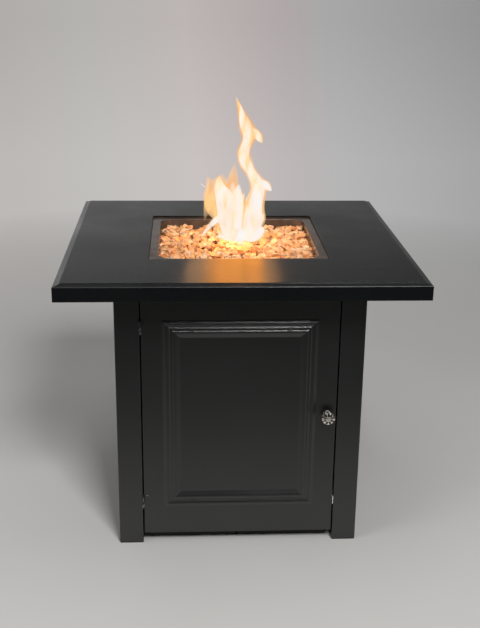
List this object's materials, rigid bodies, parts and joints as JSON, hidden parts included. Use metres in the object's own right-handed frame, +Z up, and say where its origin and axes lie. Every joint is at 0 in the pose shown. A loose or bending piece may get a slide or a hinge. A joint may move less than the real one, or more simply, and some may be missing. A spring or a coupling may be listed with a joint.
{
  "type": "fire pit table",
  "caption": "Square gas fire pit table: folded metal top with a lid recess, burner pan with fire glass, cupboard base with a hinged panelled door.",
  "frame": {"origin": "middle of the floor under the table, at the bottom of its feet", "axes": "+Z up, -Y out of the door, +X to the right of someone facing the door"},
  "size_m": [0.711, 0.711, 0.608],
  "materials": {
    "top_coat": "satin black powder coat",
    "base_coat": "satin black powder coat",
    "pan_enamel": "gloss black, heat tinted",
    "fire_glass": "clear tumbled glass",
    "burner_steel": "stainless, heat tinted",
    "zinc_steel": "zinc plated",
    "shield_steel": "galvanized sheet",
    "hinge_steel": "black with worn edges",
    "brass": "turned brass",
    "pewter": "cast, antique pewter",
    "black_plastic": "moulded",
    "knob_plastic": "moulded, satin",
    "bezel_metal": "brushed plate",
    "catch_plastic": "white moulded",
    "ceramic": "glazed ceramic",
    "lead_sleeve": "silicone sleeve",
    "sensor_copper": "copper",
    "tube_metal": "bare tube"
  },
  "bodies": {
    "table": {"table_top": "top_coat", "top_frame": "base_coat", "frame_bolts": "zinc_steel", "post_front_left": "base_coat", "post_front_right": "base_coat", "post_back_left": "base_coat", "post_back_right": "base_coat", "foot_caps": "black_plastic", "top_rail_front": "base_coat", "top_rail_right": "base_coat", "top_rail_back": "base_coat", "top_rail_left": "base_coat", "side_panel_left": "base_coat", "side_panel_right": "base_coat", "back_panel": "base_coat", "panel_screws": "zinc_steel", "tank_tray": "base_coat", "bottle_ring": "base_coat", "hinge_lower_post_leaf": "hinge_steel", "hinge_upper_post_leaf": "hinge_steel", "hinge_pins": "zinc_steel", "catch_magnet": "catch_plastic", "burner_pan": "pan_enamel", "heat_shield": "shield_steel", "shield_screws": "zinc_steel", "fire_glass_bed": "fire_glass", "fire_glass": "fire_glass", "burner_ring": "burner_steel", "burner_nipple": "zinc_steel", "burner_locknut": "brass", "burner_elbow": "zinc_steel", "venturi_tube": "zinc_steel", "orifice_fitting": "brass", "pilot_bracket": "burner_steel", "electrode_insulator": "ceramic", "spark_electrode": "burner_steel", "flame_sensor": "sensor_copper", "control_bezel": "bezel_metal", "bezel_screws": "zinc_steel", "gas_valve_body": "brass", "control_nuts": "zinc_steel", "gas_inlet_fitting": "brass", "igniter_body": "black_plastic", "gas_tube": "tube_metal", "igniter_lead": "lead_sleeve", "sensor_lead": "sensor_copper"},
    "door": {"door_skin": "base_coat", "door_liner": "base_coat", "door_rivets": "zinc_steel", "door_knob": "pewter", "door_knob_screw": "zinc_steel", "strike_plate": "zinc_steel", "hinge_lower_door_leaf": "hinge_steel", "hinge_upper_door_leaf": "hinge_steel"},
    "gas_plug": {"gas_valve_plug": "brass"},
    "gas_knob_set": {"gas_knob": "knob_plastic", "gas_valve_stem": "brass"},
    "igniter_push_button": {"igniter_button": "knob_plastic"}
  },
  "joints": [
    {"name": "door_swing", "type": "hinge", "parent": "table", "child": "door", "pos_m": [-0.19975, -0.2542, 0], "axis": [0, 0, -1], "range_deg": [0, 110]},
    {"name": "gas_valve_turn", "type": "hinge", "parent": "table", "child": "gas_plug", "pos_m": [0.226, -0.058, 0.478], "axis": [1, 0, 0], "range_deg": [0, 180]},
    {"name": "gas_knob_push", "type": "slide", "parent": "gas_plug", "child": "gas_knob_set", "axis": [-1, 0, 0], "range_m": [0, 0.003], "stiffness_N_per_m": 1200},
    {"name": "igniter_push", "type": "slide", "parent": "table", "child": "igniter_push_button", "axis": [-1, 0, 0], "range_m": [0, 0.004], "stiffness_N_per_m": 900}
  ]
}
